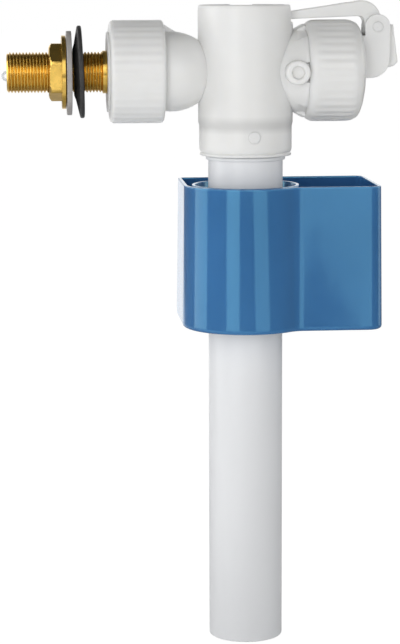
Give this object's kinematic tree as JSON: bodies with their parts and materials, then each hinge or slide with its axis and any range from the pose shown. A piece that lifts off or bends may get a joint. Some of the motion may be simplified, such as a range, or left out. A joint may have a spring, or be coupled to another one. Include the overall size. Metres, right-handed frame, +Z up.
{
  "type": "toilet fill valve",
  "caption": "side-inlet toilet fill valve with brass wall shank, white pilot-lever diaphragm head, down pipe and sliding blue float cup",
  "frame": {"origin": "on the axis of the brass inlet shank, at the outer face plane of the cistern wall, which is the inner face of the flat washer", "axes": "+X along the inlet into the cistern, +Y to the back of the valve, +Z up along the down pipe"},
  "size_m": [0.1634, 0.0618, 0.2687],
  "materials": {
    "brass": "turned, uncoated, slightly dulled",
    "steel": "drawn stainless wire",
    "washer_grey": "plain grey moulding",
    "rubber": "moulded black rubber",
    "white_plastic": "satin white acetal",
    "clear_white_plastic": "slightly bluish white polypropylene",
    "blue_plastic": "glossy blue moulding"
  },
  "bodies": {
    "valve": {"inlet_shank": "brass", "flow_restrictor": "white_plastic", "flat_washer": "washer_grey", "coupling_washer": "rubber", "valve_body": "white_plastic", "down_pipe": "clear_white_plastic", "pipe_seal_ring": "rubber", "silencer": "clear_white_plastic", "diaphragm": "rubber", "metering_pin": "steel", "diaphragm_cap": "white_plastic", "lever_pin": "white_plastic"},
    "filter": {"inlet_filter": "clear_white_plastic"},
    "nut": {"lock_nut": "brass"},
    "seal": {"cone_seal": "rubber"},
    "coupling": {"coupling_nut": "white_plastic"},
    "insert": {"diaphragm_insert": "white_plastic"},
    "float": {"float": "blue_plastic", "float_rod": "white_plastic"},
    "screw": {"adjusting_screw": "white_plastic"},
    "lever": {"lever": "white_plastic", "pilot_pad": "rubber"}
  },
  "joints": [
    {"name": "float_rise", "type": "slide", "parent": "valve", "child": "float", "axis": [0, 0, 1], "range_m": [0, 0.0066]},
    {"name": "lever_swing", "type": "hinge", "parent": "valve", "child": "lever", "pos_m": [0.1259, 0, 0.0179], "axis": [0, 1, 0], "range_deg": [0, 7.01]},
    {"name": "level_screw", "type": "hinge", "parent": "float", "child": "screw", "pos_m": [0.0717, 0, 0.018], "axis": [0, 0, 1], "continuous": true},
    {"name": "insert_lift", "type": "slide", "parent": "valve", "child": "insert", "axis": [1, 0, 0], "range_m": [0, 0.0012]},
    {"name": "lock_nut_turn", "type": "hinge", "parent": "valve", "child": "nut", "pos_m": [-0.006, 0, 0], "axis": [1, 0, 0], "continuous": true},
    {"name": "coupling_turn", "type": "hinge", "parent": "valve", "child": "coupling", "pos_m": [0.026, 0, 0], "axis": [1, 0, 0], "continuous": true},
    {"name": "seal_slide", "type": "slide", "parent": "valve", "child": "seal", "axis": [1, 0, 0], "range_m": [0, 0.0065]},
    {"name": "filter_pull", "type": "slide", "parent": "valve", "child": "filter", "axis": [-1, 0, 0], "range_m": [0, 0.0225]}
  ],
  "couplings": [
    {"joint": "lever_swing", "follows": "float_rise", "rad_per_m": 18.5}
  ]
}
